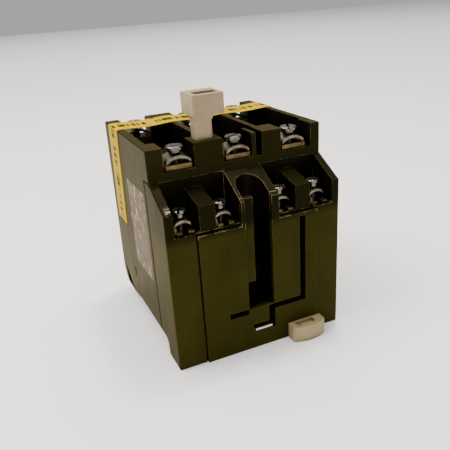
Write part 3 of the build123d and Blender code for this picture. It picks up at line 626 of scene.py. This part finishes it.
def tape_line(ends, across):
    """Points of the tape from its left end to its right end at a share of its width, each with its normal."""
    left_end, left_fold, right_fold, right_end = [front.lerp(back, across) for front, back in ends]
    half, top = HOUSING[1].x, HOUSING[1].z
    inner, under = half - TAPE_BEND, top - TAPE_BEND
    left, up, right = Vector((-1, 0, 0)), Vector((0, 0, 1)), Vector((1, 0, 0))
    foot, shoulder = Vector((-half, left_end.y, left_end.z)), Vector((-half, left_fold.y, under))
    line = straight(foot, shoulder, left, 55)
    line += fold(Vector((-inner, left_fold.y, under)), math.pi)
    line += straight(Vector((-inner, left_fold.y, top)), Vector((inner, right_fold.y, top)), up, 120)
    line += fold(Vector((inner, right_fold.y, under)), math.pi / 2)
    foot, shoulder = Vector((half, right_end.y, right_end.z)), Vector((half, right_fold.y, under))
    line += straight(shoulder, foot, right, 15)
    return line


def tape_sag(place, spans):
    """How far the tape hangs between the walls of the channel under it."""
    for low, high in spans:
        if low < place.x < high:
            share = (place.x - low) / (high - low)
            return TAPE_SAG * (4 * share * (1 - share)) ** 1.5
    return 0.0


def tape_faces(rows, count):
    """Faces of a closed strip whose two layers each have rows of points."""
    layer = rows * count
    faces = []
    for row in range(rows - 1):
        for number in range(count - 1):
            a, b = row * count + number, (row + 1) * count + number
            faces.append((a, b, b + 1, a + 1))
            faces.append((layer + a, layer + a + 1, layer + b + 1, layer + b))
    rim = [row * count for row in range(rows)]
    rim += [(rows - 1) * count + number for number in range(1, count)]
    rim += [row * count + count - 1 for row in range(rows - 2, -1, -1)]
    rim += list(range(count - 2, 0, -1))
    for first, second in zip(rim, rim[1:] + rim[:1]):
        faces.append((first, layer + first, layer + second, second))
    return faces


def make_tape(material):
    """Yellow tape over the body: folded over both edges, slack over the channels, with small wrinkles."""
    ends, spans = tape_ends(), channel_spans()
    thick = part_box("seal_tape")[1].z - HOUSING[1].z
    lines = [tape_line(ends, row / (TAPE_ROWS - 1)) for row in range(TAPE_ROWS)]
    points, flat = [], []
    for layer in (0.15, 1.0):
        for row, line in enumerate(lines):
            run = 0.0
            for number, (place, normal) in enumerate(line):
                run += (place - line[max(0, number - 1)][0]).length
                level = normal.z > 0.99 and abs(place.x) < HOUSING[1].x - 2 * MM
                hang = tape_sag(place, spans) if level else 0.0
                wrinkle = TAPE_WRINKLE * (1 + noise.noise(place * 260.0)) * (1.0 if hang else 0.4)
                slack = Vector((0, 0, -hang))
                points.append(place + slack + normal * (layer * (thick - wrinkle)))
                flat.append((run, TAPE_WIDTH * row / (TAPE_ROWS - 1)))
    count = len(lines[0])
    tape = link_mesh("tape", points, tape_faces(TAPE_ROWS, count), material)
    layout = tape.data.uv_layers.new(name="tape_length")
    for loop in tape.data.loops:
        layout.data[loop.index].uv = flat[loop.vertex_index]
    for face in tape.data.polygons:
        face.use_smooth = face.index < 2 * (TAPE_ROWS - 1) * (count - 1)
    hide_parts("seal_tape")
    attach(tape, "housing")


# ---------------------------------------------------------------- springs
def coil(foot, axis, length, radius, wire):
    """Points and faces of one spring of round wire with closed end turns, standing on its foot."""
    side = Vector((1, 0, 0))
    other = axis.cross(side)
    steps, ring = 26, 8
    closed = 2.1 * wire
    open_pitch = (length - 2 * wire - 2 * closed) / (SPRING_TURNS - 2)
    pitches = [closed] + [open_pitch] * (SPRING_TURNS - 2) + [closed]
    points, faces = [], []
    for step in range(SPRING_TURNS * steps + 1):
        turn = min(step // steps, SPRING_TURNS - 1)
        rise = wire + sum(pitches[:turn]) + pitches[turn] * (step / steps - turn)
        angle = 2 * math.pi * step / steps
        outward = side * math.cos(angle) + other * math.sin(angle)
        for corner in range(ring):
            around = 2 * math.pi * corner / ring
            reach = radius + wire * math.cos(around)
            points.append(foot + outward * reach + axis * (rise + wire * math.sin(around)))
        if step:
            old, new = (step - 1) * ring, step * ring
            for corner in range(ring):
                after = (corner + 1) % ring
                faces.append((old + corner, new + corner, new + after, old + after))
    last = SPRING_TURNS * steps * ring
    faces.append(tuple(range(ring)))
    faces.append(tuple(range(last + ring - 1, last - 1, -1)))
    return points, faces


def make_springs(name, node, feet, axis, length, size, material):
    """Springs of one kind in place of their CAD node."""
    points, faces = [], []
    for foot in feet:
        more, around = coil(foot, axis, length, *size)
        faces += [tuple(len(points) + corner for corner in face) for face in around]
        points += more
    springs = link_mesh(name, points, faces, material)
    springs.data.polygons.foreach_set("use_smooth", [len(face) == 4 for face in faces])
    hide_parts(node)
    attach(springs, "housing")
    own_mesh(springs)


def make_return_springs(material):
    """Four springs between the coil and the contact carrier."""
    low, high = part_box("return_springs")
    reach = sum(RETURN_SPRING)
    sides = [(x, y) for x in (low.x + reach, high.x - reach) for y in (low.y + reach, high.y - reach)]
    feet = [Vector((x, y, low.z)) for x, y in sides]
    make_springs("return_coils", "return_springs", feet, Vector((0, 0, 1)), high.z - low.z,
                 RETURN_SPRING, material)


def make_clip_spring(material):
    """Spring of the rail clip, in its window, which leans on a post of the front block."""
    low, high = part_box("clip_spring")
    foot = Vector(((low.x + high.x) / 2, low.y, (low.z + high.z) / 2))
    make_springs("clip_coil", "clip_spring", [foot], Vector((0, 1, 0)), high.y - low.y,
                 CLIP_SPRING, material)


# ---------------------------------------------------------------- the whole scene
MAKERS = (
    housing_phenolic, front_phenolic, base_phenolic, carrier_plastic, pad_rubber, holder_ivory, clip_ivory,
    bobbin_plastic, winding_enamel, lead_insulation, terminal_brass, zinc_clamp, zinc_screw, spring_steel,
    contact_silver, bridge_copper, ring_copper, core_steel, plate_aluminium, tape_yellow,
)


def dress_frame():
    """Give each CAD node the material of its slot, and hand over all materials by name."""
    materials = {maker.__name__: maker() for maker in MAKERS}
    slot_of = {entry["node"]: entry["material_slot"] for entry in frame["record"]["subparts"]}
    for name, thing in frame["nodes"].items():
        thing.data.materials.clear()
        thing.data.materials.append(materials[slot_of[name]])
    return materials


make_camera()
make_floor()
make_light()
finishes = dress_frame()
make_tape(finishes["tape_yellow"])
make_return_springs(finishes["spring_steel"])
make_clip_spring(finishes["spring_steel"])
